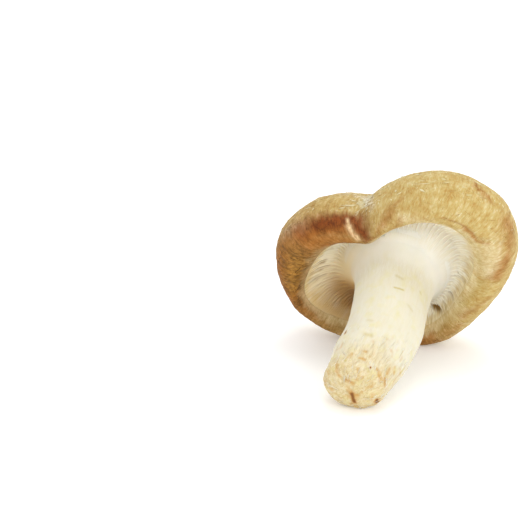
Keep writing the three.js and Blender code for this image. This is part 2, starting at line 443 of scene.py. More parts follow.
def add(tree, kind, inputs=(), **settings):
    """A shader node with its settings. Each input is a value, or a socket that is linked to it."""
    node = tree.nodes.new("ShaderNode" + kind)
    for name, value in settings.items():
        setattr(node, name, value)
    for key, value in dict(inputs).items():
        if isinstance(value, bpy.types.NodeSocket):
            tree.links.new(value, node.inputs[key])
        else:
            node.inputs[key].default_value = value
    return node


def times(tree, first, second):
    """first times second."""
    return add(tree, "Math", {0: first, 1: second}, operation="MULTIPLY").outputs[0]


def times_plus(tree, first, second, third):
    """first times second, plus third."""
    return add(tree, "Math", {0: first, 1: second, 2: third}, operation="MULTIPLY_ADD").outputs[0]


def one_minus(tree, value):
    """1 minus a value."""
    return add(tree, "Math", {0: 1.0, 1: value}, operation="SUBTRACT").outputs[0]


def clouds(tree, place, scale, detail, roughness=0.5):
    """Cloudy noise of a scale, in cells to the metre."""
    settings = {"Vector": place, "Scale": scale, "Detail": detail, "Roughness": roughness}
    return add(tree, "TexNoise", settings).outputs[0]


def stretched(tree, value, low, high):
    """0 at low and below, 1 at high and above, and straight between them."""
    return add(tree, "MapRange", {0: value, 1: low, 2: high}).outputs[0]


def mixed(tree, share, colour, other):
    """One colour laid over another by a share."""
    return add(tree, "Mix", {0: share, 6: colour, 7: other}, data_type="RGBA").outputs[2]


def kept(tree, name, output="Fac"):
    """A value kept on the mesh's points."""
    return add(tree, "Attribute", attribute_name=name).outputs[output]


def ramp(tree, share, *stops):
    """A colour that changes over a share, from stops of (share, hex code)."""
    node = add(tree, "ValToRGB", {0: share})
    elements = node.color_ramp.elements
    elements.remove(elements[1])
    elements[0].position = stops[0][0]
    elements[0].color = paint(stops[0][1])
    for position, code in stops[1:]:
        elements.new(position).color = paint(code)
    return node.outputs[0]


def new_group(name, *sockets):
    """An empty node group with named sockets: (name, kind, INPUT or OUTPUT)."""
    group = bpy.data.node_groups.new(name, "ShaderNodeTree")
    for label, kind, side in sockets:
        group.interface.new_socket(label, in_out=side, socket_type="NodeSocket" + kind)
    return group, group.nodes.new("NodeGroupInput").outputs, group.nodes.new("NodeGroupOutput").inputs


# Fibres, on the skin and the flesh alike, run one way: noise squeezed across them and drawn out along
# them, and bent a little so that they aren't quite straight.
FIBRE_WAVES = 380.0
fibres, given, out = new_group(
    "fibres",
    ("Place", "Vector", "INPUT"),
    ("Width", "Float", "INPUT"),
    ("Length", "Float", "INPUT"),
    ("Waviness", "Float", "INPUT"),
    ("Streaks", "Float", "OUTPUT"),
)
waves = {"Vector": given["Place"], "Scale": FIBRE_WAVES, "Detail": 1.0}
wave = add(fibres, "TexNoise", waves).outputs["Color"]
bend = add(fibres, "VectorMath", {0: wave, 1: (0.5, 0.5, 0.5)}, operation="SUBTRACT").outputs[0]
bent = add(fibres, "VectorMath", {0: bend, 3: given["Waviness"]}, operation="SCALE").outputs[0]
moved = add(fibres, "VectorMath", {0: given["Place"], 1: bent}, operation="ADD").outputs[0]
size = add(fibres, "CombineXYZ", {0: given["Width"], 1: given["Width"], 2: given["Length"]}).outputs[0]
scaled = add(fibres, "VectorMath", {0: moved, 1: size}, operation="DIVIDE").outputs[0]
sharp = stretched(fibres, clouds(fibres, scaled, 1.0, 2.0, 0.6), 0.3, 0.7)
fibres.links.new(sharp, out["Streaks"])


def streaks(tree, place, width, length, waviness):
    """The fibres group with its sizes."""
    node = add(tree, "Group", node_tree=fibres)
    tree.links.new(place, node.inputs["Place"])
    for key, value in (("Width", width), ("Length", length), ("Waviness", waviness)):
        node.inputs[key].default_value = value
    return node.outputs[0]


# The skin's colours: tan streaks from dark to cream, and each kind of patch laid over them by its mask,
# which is named first, at a strength, and from its dark colour to its light one.
SKIN_TONES = ((0.15, "8f642e"), (0.36, "af8a4a"), (0.55, "c0a86a"), (0.8, "dacfa4"))
PATCHES = (
    ("grey", 0.75, "857048", "f0e8d2"),
    ("pale", 0.8, "c8ad74", "e7dbb8"),
    # dark: the darker middle and left side, with painted shade at the left and along the lower margin by the
    # table.
    ("dark", 0.95, "2e1300", "a05c10"),
    ("amber", 0.9, "6c3606", "a8641c"),
    ("rucked", 0.75, "2a1402", "b98a40"),
    ("bruise", 0.95, "401203", "844012"),
    ("lip", 0.85, "c3a263", "e8dab0"),
    ("cut", 1.0, "b98550", "f0d6a8"),
)
PATCH_TONES = (0.31, 0.66)

skin_colours, given, out = new_group(
    "skin colours",
    ("Tone", "Float", "INPUT"),
    ("Colour", "Color", "OUTPUT"),
)
colour = ramp(skin_colours, given["Tone"], *SKIN_TONES)
patch_tone = stretched(skin_colours, given["Tone"], *PATCH_TONES)
for mask, strength, low, high in PATCHES:
    patch = mixed(skin_colours, patch_tone, paint(low), paint(high))
    colour = mixed(skin_colours, times(skin_colours, kept(skin_colours, mask), strength), colour, patch)
skin_colours.links.new(colour, out["Colour"])


def new_material(name, finish):
    """A material, its node tree and its shader, whose sockets get the plain values of a finish."""
    material = bpy.data.materials.new(name)
    material.use_nodes = True
    shader = material.node_tree.nodes["Principled BSDF"]
    for socket, value in finish.items():
        shader.inputs[socket].default_value = value
    return material, material.node_tree, shader


def bumped(tree, shader, strength, distance, height):
    """Fine relief on a shader from a height between 0 and 1."""
    bump = add(tree, "Bump", {"Strength": strength, "Distance": distance, "Height": height}).outputs[0]
    tree.links.new(bump, shader.inputs["Normal"])


SKIN_FINISH = {
    "Specular IOR Level": 0.12,
    "Subsurface Weight": 0.12,
    "Subsurface Radius": (1.0, 0.5, 0.25),
    "Subsurface Scale": 1.2 * MM,
}
SKIN_ROUGHNESS = (0.5, 0.72)


def skin_material(name, tone_of):
    """Cap skin: the skin's colours for a tone, soft gloss and a little light through it."""
    material, tree, shader = new_material(name, SKIN_FINISH)
    tone, height = tone_of(tree)
    colours = add(tree, "Group", node_tree=skin_colours)
    tree.links.new(tone, colours.inputs["Tone"])
    tree.links.new(colours.outputs[0], shader.inputs["Base Color"])
    rough = add(tree, "MapRange", {0: tone, 3: SKIN_ROUGHNESS[0], 4: SKIN_ROUGHNESS[1]}).outputs[0]
    tree.links.new(rough, shader.inputs["Roughness"])
    bumped(tree, shader, 0.5, 0.12 * MM, height)
    return material


def skin_tone(tree):
    """Tone and height of the skin: fine fibrils, broad streaks, specks and cloudy patches."""
    fibre = kept(tree, "fibre", "Vector")
    place = add(tree, "TexCoord").outputs["Object"]
    fine = streaks(tree, fibre, 0.36 * MM, 1.9 * MM, 0.4 * MM)
    broad = streaks(tree, fibre, 1.0 * MM, 3.4 * MM, 1.1 * MM)
    tone = times_plus(tree, fine, 0.17, times(tree, broad, 0.15))
    tone = times_plus(tree, clouds(tree, place, 1100.0, 2.0), 0.24, tone)
    return times_plus(tree, clouds(tree, place, 260.0, 6.0, 0.6), 0.5, tone), fine


cap.data.materials.append(skin_material("cap_skin", skin_tone))
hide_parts("mushroom")
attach(cap, "root")

# Fibrils: the skin's outermost threads, thousands of them, combed from the dome's middle to the lip.
# Each is a thin sliver, pointed at both ends, that lies along the skin and is sunk a little into it.
FIBRIL_COUNT = 5200
FIBRIL_START = 2 * MM
FIBRIL_END_GAP = 0.5 * MM
FIBRIL_CROWDING = 0.62
FIBRIL_LENGTH = (0.8 * MM, 2.2 * MM)
FIBRIL_WIDTH = (0.06 * MM, 0.13 * MM)
FIBRIL_CREST = (0.02 * MM, 0.055 * MM)
FIBRIL_TONE = (0.48, 0.12)
DARK_SHARE = 0.16
DARK_TONE = 0.05
SLIVER_TURN = 3.5
SLIVER_STATIONS = np.linspace(0, 1, 5)
SLIVER_WIDTHS = np.array((0.75, 1.0, 0.6))
SLIVER_SUNK = 0.05 * MM
SLIVER_CLOUDS = 900.0


def slivers(skin, shape, step, angles, ways, widths, crests, lifts):
    """Points and faces of slivers over a skin(angle, way). Each has five stations on its line: a tip,
    three triangles of side, side and crest, and a tip. Rows of angles, ways and lifts give the line."""
    line = skin(angles, ways)
    normal = outward(shape, angles, ways, step)
    side = unit(np.cross(normal, np.gradient(line, axis=1)))
    line = line + normal * (lifts - SLIVER_SUNK)[..., None]
    beside = side[:, 1:4] * (SLIVER_WIDTHS * widths[:, None])[..., None]
    crest = normal[:, 1:4] * (SLIVER_SUNK + SLIVER_WIDTHS * crests[:, None])[..., None]
    rings = np.stack((line[:, 1:4] - beside, line[:, 1:4] + beside, line[:, 1:4] + crest), 2)
    points = np.concatenate((line[:, :1], rings.reshape(len(line), 9, 3), line[:, 4:]), 1)
    corner = np.arange(3)
    after = (corner + 1) % 3
    start = np.stack((0 * corner, 1 + after, 1 + corner), -1)
    tips = np.concatenate((start, np.stack((0 * corner + 10, 7 + corner, 7 + after), -1)))
    sides = [np.stack((k + corner, k + after, k + 3 + after, k + 3 + corner), -1) for k in (1, 4)]
    first = points.shape[1] * np.arange(len(line))[:, None, None]
    faces = (first + tips).reshape(-1, 3).tolist() + (first + np.concatenate(sides)).reshape(-1, 4).tolist()
    return points.reshape(-1, 3), faces


def per_point(values):
    """A value at each of a sliver's five stations, repeated for its 1, 3, 3, 3 and 1 points."""
    return np.repeat(values, (1, 3, 3, 3, 1), axis=1).reshape(-1, 1)


def skin_slivers(name, angles, lengths_down, long, widths, crests, lifts, tones, seed):
    """Slivers on the cap: they start at an angle and a length from the dome's middle and run down it."""
    random = np.random.default_rng(seed)
    rows = angles[:, None] + random.normal(0, SLIVER_TURN, len(angles))[:, None] * SLIVER_STATIONS
    turn_rows = np.interp(lengths_down[:, None] + long[:, None] * SLIVER_STATIONS, lengths, turns)
    points, faces = slivers(cap_skin, cap_shape, CAP_STEP, rows, turn_rows, widths, crests, lifts)
    values = {key: per_point(value) for key, value in cap_masks(rows, turn_rows).items()}
    values["tone"] = per_point(tones[:, None] + 0 * rows)
    return dressed(name, points, faces, values, smooth=False)


random = np.random.default_rng(51)
fibril_length = random.uniform(*FIBRIL_LENGTH, FIBRIL_COUNT)
fibril_room = along_cap(LIP_TURN) - FIBRIL_START - FIBRIL_END_GAP - fibril_length
dark_fibril = random.uniform(0, 1, FIBRIL_COUNT) < DARK_SHARE
fibrils = skin_slivers(
    "cap_fibrils",
    random.uniform(-180, 180, FIBRIL_COUNT),
    FIBRIL_START + fibril_room * random.uniform(0, 1, FIBRIL_COUNT) ** FIBRIL_CROWDING,
    fibril_length,
    random.uniform(*FIBRIL_WIDTH, FIBRIL_COUNT),
    random.uniform(*FIBRIL_CREST, FIBRIL_COUNT),
    np.zeros((FIBRIL_COUNT, 5)),
    np.where(dark_fibril, DARK_TONE, np.clip(random.normal(*FIBRIL_TONE, FIBRIL_COUNT), 0, 1)),
    52,
)


def kept_tone(tree):
    """Tone kept on each sliver, with faint clouds over it, which are its height too."""
    cloudy = clouds(tree, add(tree, "TexCoord").outputs["Object"], SLIVER_CLOUDS, 2.0)
    return times_plus(tree, cloudy, 0.25, times(tree, kept(tree, "tone"), 0.8)), cloudy


sliver_skin = skin_material("cap_fibrils", kept_tone)
fibrils.data.materials.append(sliver_skin)
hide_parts("mushroom")
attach(fibrils, "root")

# Flecks: pale scraps of skin, left where the cap's first covering tore as it grew. They lie in the
# notch between the lobes and over the dome, and their lower ends curl up.
FLECK_COUNT = 420
FLECK_START = 5 * MM
FLECK_END_TURN = 20
FLECK_CROWDING = 0.7
FLECK_LENGTH = (0.7 * MM, 2.0 * MM)
FLECK_WIDTH = (0.18 * MM, 0.42 * MM)
FLECK_CREST = 0.05 * MM
FLECK_LIFT = (0.05 * MM, 0.28 * MM)
FLECK_TONE = (0.6, 1.0)
NOTCH_SHARE = 0.2
NOTCH_ANGLE = (-114.5, 3)
NOTCH_TURN = -10
NOTCH_SPREAD = 2.2 * MM
NOTCH_TONE = 1.4

random = np.random.default_rng(53)
in_notch = random.uniform(0, 1, FLECK_COUNT) < NOTCH_SHARE
fleck_lift = random.uniform(*FLECK_LIFT, FLECK_COUNT)
fleck_room = along_cap(FLECK_END_TURN) - FLECK_START
flecks = skin_slivers(
    "cap_flecks",
    np.where(in_notch, random.normal(*NOTCH_ANGLE, FLECK_COUNT), random.uniform(-180, 180, FLECK_COUNT)),
    np.where(
        in_notch,
        along_cap(NOTCH_TURN) + NOTCH_SPREAD * random.normal(0, 1, FLECK_COUNT),
        FLECK_START + fleck_room * random.uniform(0, 1, FLECK_COUNT) ** FLECK_CROWDING,
    ),
    random.uniform(*FLECK_LENGTH, FLECK_COUNT),
    random.uniform(*FLECK_WIDTH, FLECK_COUNT),
    np.full(FLECK_COUNT, FLECK_CREST),
    fleck_lift[:, None] * SLIVER_STATIONS ** 2,
    np.where(in_notch, NOTCH_TONE, random.uniform(*FLECK_TONE, FLECK_COUNT)),
    54,
)
flecks.data.materials.append(sliver_skin)
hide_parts("mushroom")
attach(flecks, "root")

# The stem: firm white flesh in long fibres, smooth where it flares into the gills, coarse and beige
# at the foot, where it was torn off. Its top is sunk in the cap's flesh.
FLARE_RADIUS = 15.4 * MM
FLARE_DROP = 4 * MM
FLARE_LENGTH = 4.5 * MM
STEM_RADIUS = 10.9 * MM
END_RADIUS = 9.0 * MM
TAPER = (40 * MM, 54 * MM)
STEM_LENGTH = 59 * MM
END_ROUND = 6 * MM
SIDE_LENGTH = STEM_LENGTH - END_ROUND
END_WAY = 12 * MM
END_SLANT = 8
LEAN = 0.03
BEND_LEFT = 0.26
BEND_UP = 0.076
BEND_START = 31 * MM
BEND_SOFTNESS = 4 * MM
STEM_WAVES = ((2, 0.03, 20), (3, 0.02, 75))
STEM_STEP = 0.05 * MM
STEM_SIDES = 360
STEM_RINGS = 250
STEM_TOP = 2.4 * MM
TOP_SUNK = 0.6 * MM
END_FULLNESS = 0.7
FULL_WAVES = FLARE_DROP + 10 * MM
END_FIBRES = (SIDE_LENGTH - 8 * MM, SIDE_LENGTH + 4 * MM)


def stem_line(drop):
    """The stem's line: lean drop - bend b to the left and bend b up, with b = (p + sqrt(p^2 + s^2)) / 2
    for the length p past the bend's start."""
    past = drop - BEND_START
    bent = (past + np.hypot(past, BEND_SOFTNESS)) / 2
    return LEAN * drop - BEND_LEFT * bent, -BEND_UP * bent


def stem_radius(drop):
    """Radius + flare exp((d0 - drop) / length), eased to the end's radius over the taper."""
    flare = (FLARE_RADIUS - STEM_RADIUS) * np.exp((FLARE_DROP - drop) / FLARE_LENGTH)
    return between(STEM_RADIUS + flare, END_RADIUS, ease(drop, *TAPER))


def stem_shape(angle, way):
    """The smooth stem at an angle and a way along its skin. On the side the drop below the cap's widest
    level is the way. On the end, for t from 0 to 90 degrees, the drop is side + e sin(t) and the
    radius r cos(t)^0.7. Low waves go round it, and the end is slanted."""
    angle, way = np.broadcast_arrays(angle, way)
    rounding = np.radians(90) * np.clip((way - SIDE_LENGTH) / END_WAY, 0, 0.9999)
    drop = np.minimum(way, SIDE_LENGTH) + END_ROUND * np.sin(rounding)
    radius = np.where(way < SIDE_LENGTH, stem_radius(drop), END_RADIUS * np.cos(rounding) ** END_FULLNESS)
    lumps = sum(size * np.cos(np.radians(number * angle - phase)) for number, size, phase in STEM_WAVES)
    radius = radius * (1 + lumps * ease(drop, FLARE_DROP, FULL_WAVES))
    point = round_point(angle, radius, -drop)
    point[..., 2] -= np.tan(np.radians(END_SLANT)) * ease(drop, TAPER[0], STEM_LENGTH) * point[..., 0]
    across, down = stem_line(drop)
    point[..., 0] += across
    point[..., 1] += down
    return point


def stem_fibre(angle, way):
    """A place for the stem's fibres: round its own radius and along it, and on the end the place itself."""
    angle, way = np.broadcast_arrays(angle, way)
    side = round_point(angle, STEM_RADIUS, -way)
    end = stem_shape(angle, way)
    across, down = stem_line(np.minimum(way, STEM_LENGTH))
    end[..., 0] -= across
    end[..., 1] -= down
    return between(side, end, ease(way, *END_FIBRES)[..., None])


def stem_mark(place, start, end, width):
    """1 on a line through the stem's skin, exp(-(distance/width)^2) beside it. start and end are
    (angle, way in millimetres)."""
    first, last = (stem_shape(angle, way * MM) for angle, way in (start, end))
    line = last - first
    share = np.clip((place - first) @ line / max(line @ line, TINY), 0, 1)
    return np.exp(-(((place - first - share[..., None] * line) / width) ** 2).sum(-1))


# Marks on the stem: from one (angle in degrees, way in millimetres) to another, with a width and a
# strength.
DENTS = (
    ((-30, 49), (-22, 52), 0.6 * MM, 1.0),
    ((-8, 43.5), (-5, 46.5), 0.4 * MM, 1.0),
    ((-60, 47), (-52, 49), 0.7 * MM, 1.0),
    ((-88, 42.5), (-82, 44), 0.8 * MM, 1.0),
    ((-120, 50), (-112, 52), 0.6 * MM, 1.0),
    ((-95, 53), (-88, 55), 0.5 * MM, 1.0),
)
DENT_DEPTH = 0.22
COARSE_WAYS = (34 * MM, 56 * MM)
TORN_WAYS = (50 * MM, 58 * MM)
PIT_SIZE = 1.3 * MM
PIT_SEED = 27


def stem_relief(angle, way):
    """Height over the smooth stem, summed in millimetres: long fibres that grow coarse at the foot, lumps,
    dents, and a torn end of ridges and pits."""
    angle, way = np.broadcast_arrays(angle, way)
    place, fibre = stem_shape(angle, way), stem_fibre(angle, way)
    fibre = fibre + 0.35 * MM * grain(place, 3 * MM, 21)[..., None]
    coarse = ease(way, *COARSE_WAYS)
    torn = ease(way, *TORN_WAYS)
    height = 0.16 * grain(place, 6 * MM, 22) + 0.07 * grain(place, 2.4 * MM, 23)
    height += (0.025 + 0.04 * coarse) * grain(fibre, long_cells(0.7, 9), 24)
    height += (0.02 + 0.035 * coarse) * grain(fibre, long_cells(0.38, 4), 25)
    flakes = grain(fibre, long_cells(1.3, 3.2), 26)
    pits = np.clip(grain(place, PIT_SIZE, PIT_SEED) - 0.35, 0, 1)
    height += coarse * (0.1 * flakes - 0.35 * pits)
    height += torn * (0.24 * grain(place, 1.6 * MM, 28) + 0.1 * grain(place, 0.7 * MM, 29))
    height -= DENT_DEPTH * strongest(DENTS, stem_mark, place)
    return height * MM * ease(way, FLARE_DROP + 1 * MM, FULL_WAVES)


def stem_skin(angle, way):
    """The stem's skin: its smooth shape plus the relief along the normal."""
    normal = outward(stem_shape, angle, way, STEM_STEP)
    return stem_shape(angle, way) + stem_relief(angle, way)[..., None] * normal


STAINS = (
    ((-37, 64.3), (53, 63.4), 0.8 * MM, 0.85),
    ((60, 63.2), (83, 62.5), 0.4 * MM, 0.5),
    ((16, 58.4), (27, 57.2), 0.75 * MM, 1.0),
    ((-56, 53.5), (-56, 53.6), 0.3 * MM, 1.0),
    ((-135, 40), (-134, 41), 0.5 * MM, 0.9),
    ((-22, 49.4), (-20, 51.2), 0.4 * MM, 0.4),
    ((-19, 52.8), (-10, 54.4), 0.5 * MM, 0.45),
    ((-30, 54.6), (-24, 55.0), 0.5 * MM, 0.3),
    ((-96, 61.2), (-80, 61.4), 0.5 * MM, 0.45),
    ((-118, 58.5), (-112, 60), 0.4 * MM, 0.3),
)
OLIVE = (
    ((-78, 22.4), (-64, 22.3), 0.35 * MM, 1.0),
    ((-78, 17.5), (-68, 18), 0.5 * MM, 0.5),
    ((-92, 43.5), (-84, 43.5), 0.8 * MM, 0.6),
    ((-100, 37.5), (-94, 37.8), 0.6 * MM, 0.4),
    ((-32, 18.5), (-29, 18.9), 0.4 * MM, 0.5),
    ((-50, 27), (-40, 28), 0.5 * MM, 0.35),
    ((-105, 53.8), (-104, 54.2), 0.35 * MM, 0.8),
    ((-112, 52.6), (-108, 53), 0.5 * MM, 0.4),
    ((-60, 54.6), (-55, 55.2), 0.6 * MM, 0.5),
    ((6, 44.5), (8, 46.5), 0.4 * MM, 0.8),
)

# Stretches along the stem over which a mask comes or goes, and the side where the flare gets painted shade:
# an angle and a spread in degrees.
FOOT_WAYS = (41 * MM, 58 * MM)
PITTED_WAYS = (38 * MM, 52 * MM)
FLARED_WAYS = (4 * MM, 20 * MM)
SHADED_SIDE = (172, 60)
SHADED_WAYS = (4 * MM, 17 * MM)
LINED_START = (9 * MM, 13 * MM)
LINED_END = (14 * MM, 26 * MM)


def stem_masks(angle, way):
    """Where the stem is stained brown or yellow-olive, beige and fibrous at its foot, pitted, smooth where
    it flares (below the flare a painted shade greys it), in painted shade at the left of the flare, or lined
    below it, from 0 to 1."""
    angle, way = np.broadcast_arrays(angle, way)
    place = stem_shape(angle, way)
    pits = np.clip(grain(place, PIT_SIZE, PIT_SEED) * 1.6 - 0.35, 0, 1)
    return {
        "stain": strongest(STAINS, stem_mark, place),
        "olive": strongest(OLIVE, stem_mark, place),
        "foot": ease(way + 4 * MM * grain(place, 5 * MM, 31), *FOOT_WAYS),
        "pits": pits * ease(way, *PITTED_WAYS),
        "flare": 1 - ease(way + 3 * MM * grain(place, 4 * MM, 32), *FLARED_WAYS),
        "shaded": bell(angle, *SHADED_SIDE) * (1 - ease(way, *SHADED_WAYS)),
        "lined": ease(way, *LINED_START) * (1 - ease(way, *LINED_END)),
    }


stem_ways = np.linspace(STEM_TOP, SIDE_LENGTH + END_WAY, STEM_RINGS)[:, None]
stem_angles = np.linspace(-180, 180, STEM_SIDES, endpoint=False)[None, :]
stem_grid = stem_skin(stem_angles, stem_ways)
sunk = TOP_SUNK * (np.clip(FLARE_DROP - stem_ways, 0, 1) / (FLARE_DROP - STEM_TOP)) ** 2
stem_grid -= sunk[..., None] * outward(stem_shape, stem_angles, stem_ways, STEM_STEP)
stem = surface(
    "stem",
    stem_grid,
    fibre=stem_fibre(stem_angles, stem_ways),
    **stem_masks(stem_angles, stem_ways),
)

# The flesh's colour, on the stem and the gills alike: ivory with faint clouds. Its surface is dull, and
# much light passes through it.
IVORY = ((0.3, "dfdccf"), (0.7, "e8e6dc"))
FLESH_FINISH = {
    "Roughness": 0.62,
    "Subsurface Weight": 0.35,
    "Subsurface Radius": (1.0, 0.75, 0.45),
    "Subsurface Scale": 1.6 * MM,
}

flesh, given, out = new_group("flesh", ("Place", "Vector", "INPUT"), ("Colour", "Color", "OUTPUT"))
ivory = ramp(flesh, clouds(flesh, given["Place"], 120.0, 3.0), *IVORY)
flesh.links.new(ivory, out["Colour"])


def flesh_material(name, colour_of):
    """Flesh in its finish, coloured over its ivory by a function of the tree, the place and the ivory."""
    material, tree, shader = new_material(name, FLESH_FINISH)
    place = add(tree, "TexCoord").outputs["Object"]
    ivory = add(tree, "Group", node_tree=flesh)
    tree.links.new(place, ivory.inputs[0])
    colour, height = colour_of(tree, place, ivory.outputs[0])
    tree.links.new(colour, shader.inputs["Base Color"])
    bumped(tree, shader, 0.3, 0.08 * MM, height)
    return material


def tinted(tree, colour, mask, strength, code):
    """A colour with another, from its hex code, laid over it by a mask times a strength."""
    return mixed(tree, times(tree, mask, strength), colour, paint(code))


# Painted shade at the left of the stem's flare, where the stem and the cap shade the flesh: a strength and a
# tan, on the stem and the gills' inner ends alike.
SHADE = (0.6, "c6a868")


def stem_colour(tree, place, ivory):
    """Colour and height of the stem: fibres, painted shade below the flare and at its left, a beige foot
    with tan pits, and its stains.
    """
    fibre = kept(tree, "fibre", "Vector")
    fine = streaks(tree, fibre, 0.28 * MM, 4.0 * MM, 0.6 * MM)
    broad = streaks(tree, fibre, 0.9 * MM, 9.0 * MM, 1.2 * MM)
    tone = times_plus(tree, fine, 0.5, times(tree, broad, 0.5))
    below_flare = one_minus(tree, kept(tree, "flare"))
    fibrous = times_plus(tree, kept(tree, "foot"), 0.78, times(tree, below_flare, 0.08))
    beige = ramp(tree, tone, (0.15, "b08f52"), (0.45, "cbb580"), (0.8, "dbcda6"))
    # Painted shade: the stem below its flare greyer than the flare.
    colour = tinted(tree, ivory, below_flare, 0.5, "cdc7ae")
    colour = mixed(tree, fibrous, colour, beige)
    colour = tinted(tree, colour, times(tree, one_minus(tree, fine), kept(tree, "lined")), 0.4, "cdbf98")
    colour = tinted(tree, colour, times(tree, one_minus(tree, broad), below_flare), 0.15, "d6ca8c")
    blotches = stretched(tree, clouds(tree, place, 330.0, 2.0), 0.5, 0.75)
    colour = tinted(tree, colour, times(tree, blotches, below_flare), 0.45, "d4ca86")
    # Painted shade at the left of the flare.
    colour = tinted(tree, colour, kept(tree, "shaded"), *SHADE)
    colour = tinted(tree, colour, kept(tree, "pits"), 0.65, "c08c28")
    colour = tinted(tree, colour, kept(tree, "olive"), 0.75, "b7a444")
    stained = ramp(tree, kept(tree, "stain"), (0.3, "b87c0c"), (0.9, "6e3c00"))
    colour = mixed(tree, times(tree, kept(tree, "stain"), 1.5), colour, stained)
    return colour, tone


stem.data.materials.append(flesh_material("stem", stem_colour))
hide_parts("mushroom")
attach(stem, "root")

# Frayed fibres: where the stem was torn off, ends of its long fibres stand out of its skin. Each is a
# thin sliver, as the cap's fibrils are, whose lower end lifts off.
FRAY_COUNT = 220
FRAY_START = (38 * MM, 60 * MM)
FRAY_LENGTH = (1.4 * MM, 4.2 * MM)
FRAY_TURN = 5
FRAY_WIDTH = (0.06 * MM, 0.14 * MM)
FRAY_CREST = 0.08 * MM
FRAY_LIFT = (0.0 * MM, 0.3 * MM)

random = np.random.default_rng(61)
fray_ways = random.uniform(*FRAY_START, FRAY_COUNT)[:, None]
fray_ways = fray_ways + random.uniform(*FRAY_LENGTH, FRAY_COUNT)[:, None] * SLIVER_STATIONS
fray_angles = random.uniform(-180, 180, FRAY_COUNT)[:, None]
fray_angles = fray_angles + random.normal(0, FRAY_TURN, (FRAY_COUNT, 1)) * SLIVER_STATIONS
fray_points, fray_faces = slivers(
    stem_skin,
    stem_shape,
    STEM_STEP,
    fray_angles,
    fray_ways,
    random.uniform(*FRAY_WIDTH, FRAY_COUNT),
    np.full(FRAY_COUNT, FRAY_CREST),
    random.uniform(*FRAY_LIFT, FRAY_COUNT)[:, None] * SLIVER_STATIONS ** 2,
)
fray_tones = random.uniform(0, 1, FRAY_COUNT)[:, None] + 0 * fray_ways
frays = dressed("frayed_fibres", fray_points, fray_faces, {"tone": per_point(fray_tones)}, smooth=False)


def fray_colour(tree, place, ivory):
    """Colour and height of a frayed fibre: ivory, or beige for some."""
    cloudy = clouds(tree, place, SLIVER_CLOUDS, 2.0)
    beige = ramp(tree, kept(tree, "tone"), (0.1, "c9ad76"), (0.4, "dccfa8"), (0.8, "ece6d2"))
    return mixed(tree, 0.8, ivory, beige), cloudy


frays.data.materials.append(flesh_material("frayed_fibres", fray_colour))
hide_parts("mushroom")
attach(frays, "root")

# The gills: thin blades of flesh that hang from the cap and run from the lip towards the stem, long
# ones with shorter ones between them. They fade into the flare of the stem, and some are stained.
TROUGH_HEIGHT = 3.6 * MM
DEPTH_PER_LENGTH = 0.4
GILL_DEPTH = 1.0 * MM
GILL_COUNT = 320
BLADE_PLACES = np.array((-0.3, 0.0, 0.3, 0.42, 0.58))
BLADE_CROWN = np.array((0.82, 1.0, 0.82, 0.0, 0.0))
REACHES = np.array((1.0, 0.3, 0.62, 0.34))
GILL_RINGS = 48
FLARE_RINGS = 8
FLARE_WAY = 6 * MM
FLARE_TUCK = 0.28 * MM
GILL_RAISED = 0.03 * MM
GILL_STEP = 0.002
BACK_HEIGHT = 3.1 * MM
BACK_SHARE = 0.8
HOLE_ANGLE = 53
HOLE_SLANT = 16
HOLE_WIDTH = 3.5
HOLE_SHARE = 0.3
HOLE_LENGTH = 0.22
HOLE_DEPTH = 0.7 * MM
REACH_SPREAD = 0.09
CREST_SPREAD = 0.14 * MM
RING_CROWDING = 1.15
GILL_SWAY = 0.9
SWAY_RADIUS = 22 * MM
SWAY_LENGTH = 9 * MM
SHADY_GILLS = (129, 32)
LEFT_GILLS = (178, 36)
RIGHT_GILLS = (15, 45)
TOP_GILLS = (-72, 34)
TICKED_GILLS = ((26, 30), (178, 26))
TICK_DEPTH = (-1.2, 1.2)
TICK_END = (0.25, 0.6)
TAN_REACH = (0.1, 0.5)


def gill_shape(angle, share):
    """The line of the gills' edges, from the lip at share 0 to the stem's flare at 1, as an arch over the
    straight line: lip + (flare - lip) share, raised by trough 4 share (1 - share). Past share 1 it
    follows the stem."""
    angle, share = np.broadcast_arrays(angle, share)
    lip = cap_shape(angle, float(LIP_TURN))
    flare = stem_shape(angle, FLARE_DROP)
    length = np.linalg.norm((lip - flare)[..., :2], axis=-1)
    inner = np.clip(share, None, 1)
    point = between(lip, flare, inner[..., None])
    trough = np.minimum(TROUGH_HEIGHT, DEPTH_PER_LENGTH * length)
    point[..., 2] += trough * 4 * inner * (1 - inner)
    past = stem_shape(angle, FLARE_DROP + FLARE_WAY * np.clip(share - 1, 0, None))
    return np.where((share > 1)[..., None], past, point)


def per_blade(values):
    """A value of each gill, repeated for the lines along it."""
    return np.repeat(values, len(BLADE_PLACES))


def hole_mark(wider, longer):
    """exp(-(x^2 + y^2)^2) round the hole, where x is the turn from its slanted middle line over its width
    and y is the share of the way from its middle over its length."""
    drawn = shares - HOLE_SHARE
    across = apart(gill_angles, HOLE_ANGLE + HOLE_SLANT * drawn) / (HOLE_WIDTH * wider)
    return np.exp(-(across ** 2 + (drawn / (HOLE_LENGTH * longer)) ** 2) ** 2)


def with_back(values):
    """A mask on the gills' front rings, with none on the two rings of their hidden back."""
    return np.vstack((values, np.zeros((2, values.shape[1]))))


